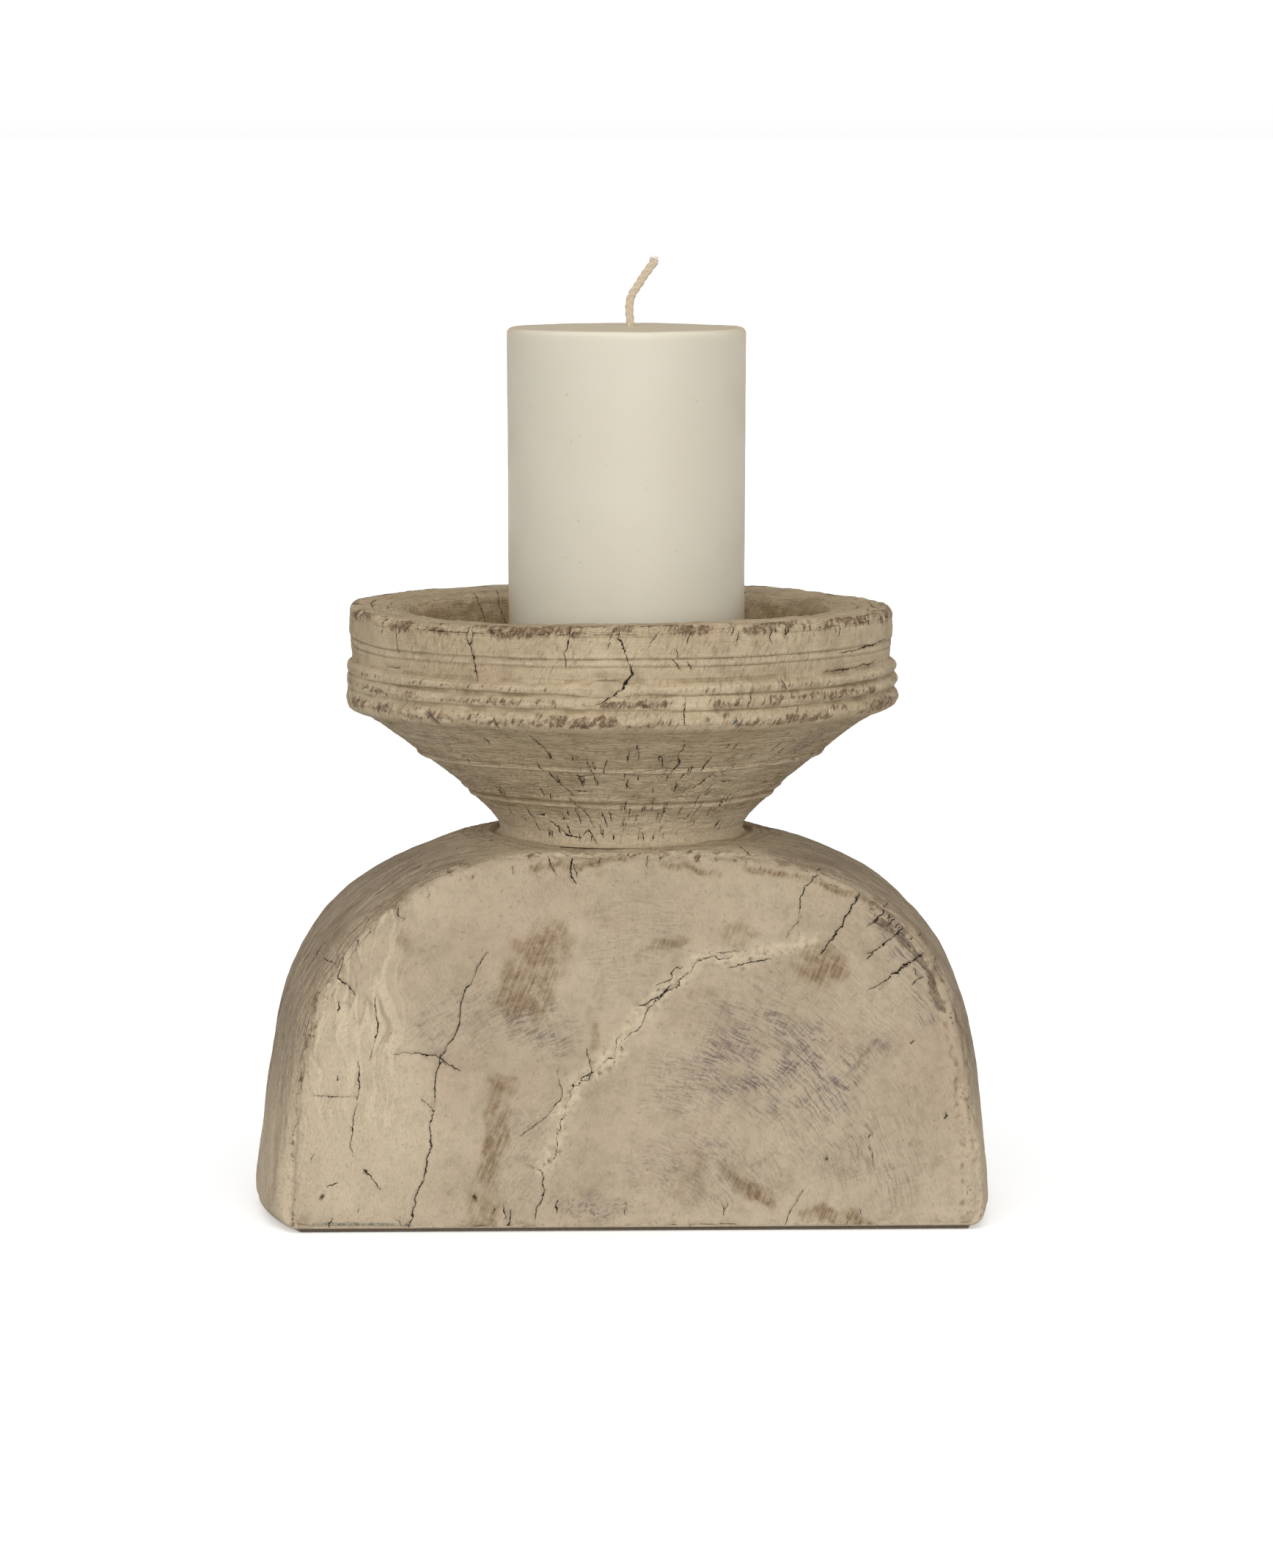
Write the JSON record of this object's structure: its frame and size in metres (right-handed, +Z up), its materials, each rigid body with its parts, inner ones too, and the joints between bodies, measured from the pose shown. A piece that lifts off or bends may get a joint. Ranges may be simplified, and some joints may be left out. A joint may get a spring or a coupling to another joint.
{
  "type": "candle holder",
  "caption": "Candlestick of weathered, limewashed wood: an arch-shaped block with a turned, flared bowl on a short neck, holding a pillar candle on a pricket.",
  "frame": {"origin": "centre of the underside, on the surface that the candlestick stands on", "axes": "+Z up along the bowl's axis; +X to the right along the block's width, seen from the front; +Y to the back through the block's depth"},
  "size_m": [0.236, 0.1774, 0.304],
  "materials": {
    "felt": "matte felt",
    "block_wood": "limewashed, chalky, weathered",
    "bowl_wood": "limewashed, chalky, turned",
    "iron": "blackened",
    "screw_steel": "plain",
    "wax": "satin wax",
    "cotton": "braided cotton"
  },
  "bodies": {
    "holder": {"base_felt": "felt", "base_block": "block_wood", "bowl": "bowl_wood", "pricket_plate": "iron", "pricket_spike": "iron", "plate_screws": "screw_steel"},
    "candle": {"candle_wax": "wax", "wick": "cotton"}
  },
  "joints": [
    {"name": "candle_lift", "type": "slide", "parent": "holder", "child": "candle", "axis": [0, 0, 1], "range_m": [0, 0.12]}
  ]
}
